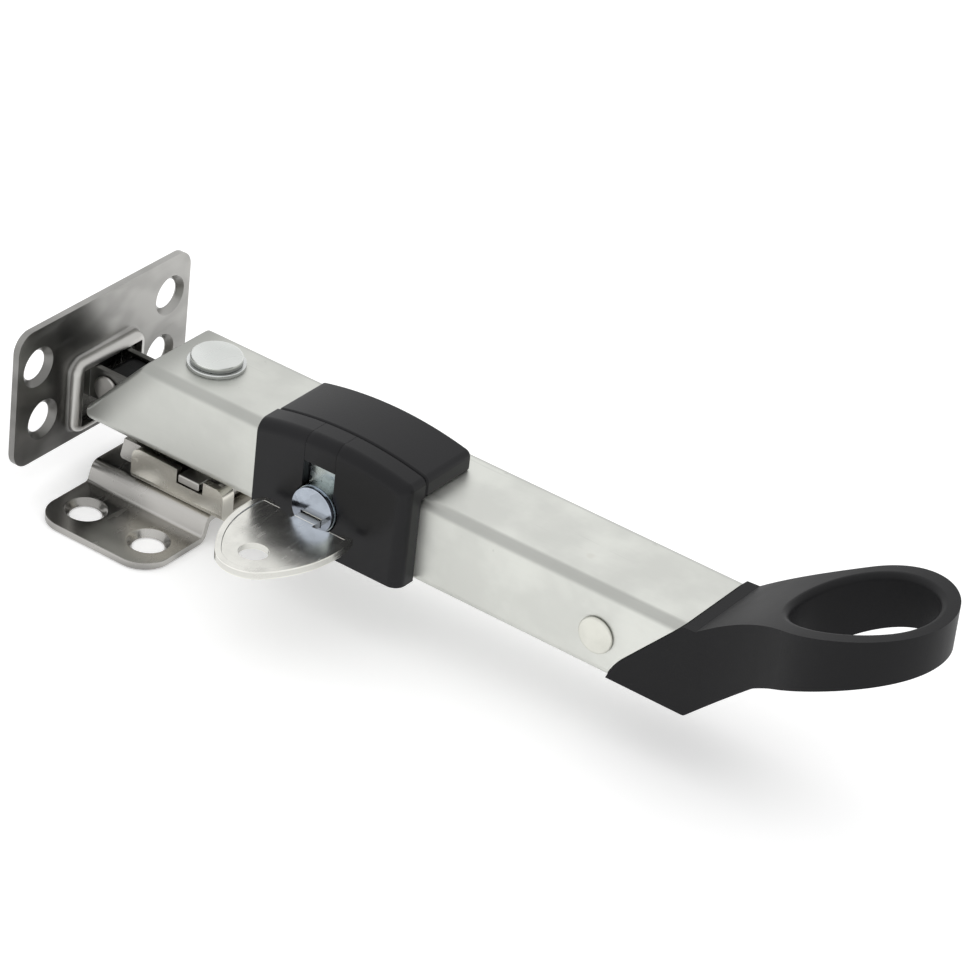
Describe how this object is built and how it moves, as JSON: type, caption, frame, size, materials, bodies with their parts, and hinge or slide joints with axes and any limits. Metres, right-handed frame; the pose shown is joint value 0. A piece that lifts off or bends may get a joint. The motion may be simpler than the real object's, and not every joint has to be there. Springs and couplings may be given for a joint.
{
  "type": "locking window stay",
  "caption": "Sliding stay for a hinged window sash: a slotted steel tube on a swivelling frame bracket, with a key lock, a tilting sash plate and a ring grip.",
  "frame": {"origin": "swivel axis of the frame bracket, on the face that is screwed to the window frame", "axes": "+X along the tube from the sash plate to the ring grip, +Y across it away from the key side, +Z out of the window frame"},
  "size_m": [0.2008, 0.0721, 0.0523],
  "materials": {
    "tube_steel": "matt ground stainless steel",
    "bracket_steel": "polished pressed stainless steel",
    "pin_steel": "turned stainless steel",
    "spring_steel": "spring steel",
    "zinc": "plated zinc casting",
    "plug_zinc": "bright plated zinc",
    "key_nickel": "nickel plated, mirror bright",
    "rivet_nickel": "nickel plated",
    "bushing_brass": "plain brass",
    "shoe_nylon": "natural nylon",
    "housing_black": "satin black nylon",
    "grip_black": "matt black, finely grained"
  },
  "bodies": {
    "frame": {"frame_bracket": "bracket_steel", "swivel_rivet": "pin_steel", "swivel_washer": "pin_steel"},
    "carriage": {"carriage": "bracket_steel", "guide_pin": "pin_steel", "pawl_pin": "pin_steel", "brake_spring": "spring_steel"},
    "guide": {"guide_block": "zinc", "slide_shoe": "shoe_nylon"},
    "pawl": {"brake_pawl": "zinc"},
    "stay": {"tube": "tube_steel", "top_pin": "pin_steel", "pin_washer": "pin_steel", "lock_housing": "housing_black", "filler_strip": "housing_black", "housing_cap": "housing_black", "cap_tray": "housing_black", "cheek_rivet_left": "pin_steel", "cheek_rivet_right": "pin_steel", "lock_barrel": "zinc", "ring_grip": "grip_black", "grip_rivet": "rivet_nickel"},
    "link": {"swivel_link": "zinc", "link_bushing": "bushing_brass", "tilt_rivet": "pin_steel"},
    "sash": {"sash_clevis": "bracket_steel", "sash_plate": "bracket_steel"},
    "plug": {"lock_plug": "plug_zinc", "lock_cam": "zinc", "cam_screw": "pin_steel"},
    "key": {"key": "key_nickel"}
  },
  "joints": [
    {"name": "carriage_swivel", "type": "hinge", "parent": "frame", "child": "carriage", "pos_m": [0, 0, 0.0061], "axis": [0, 0, 1], "range_deg": [-30, 30]},
    {"name": "guide_tilt", "type": "hinge", "parent": "carriage", "child": "guide", "pos_m": [0, 0, 0.0113], "axis": [0, -1, 0], "range_deg": [0, 4]},
    {"name": "tube_slide", "type": "slide", "parent": "guide", "child": "stay", "axis": [-1, 0, 0], "range_m": [0, 0.08]},
    {"name": "pawl_turn", "type": "hinge", "parent": "carriage", "child": "pawl", "pos_m": [0.0149, 0, 0.0104], "axis": [0, -1, 0], "range_deg": [0, 1.5], "stiffness_Nm_per_rad": 0.03, "springref_deg": -5.73},
    {"name": "link_swivel", "type": "hinge", "parent": "stay", "child": "link", "pos_m": [0.0064, 0, 0.026], "axis": [0, 0, 1], "range_deg": [-8, 8]},
    {"name": "sash_tilt", "type": "hinge", "parent": "link", "child": "sash", "pos_m": [-0.0167, 0, 0.0199], "axis": [0, 1, 0], "range_deg": [-10, 45]},
    {"name": "plug_turn", "type": "hinge", "parent": "stay", "child": "plug", "pos_m": [0.0455, 0, 0.0244], "axis": [0, 1, 0], "range_deg": [0, 90]},
    {"name": "key_withdraw", "type": "slide", "parent": "plug", "child": "key", "axis": [0, -1, 0], "range_m": [0, 0.019]}
  ]
}
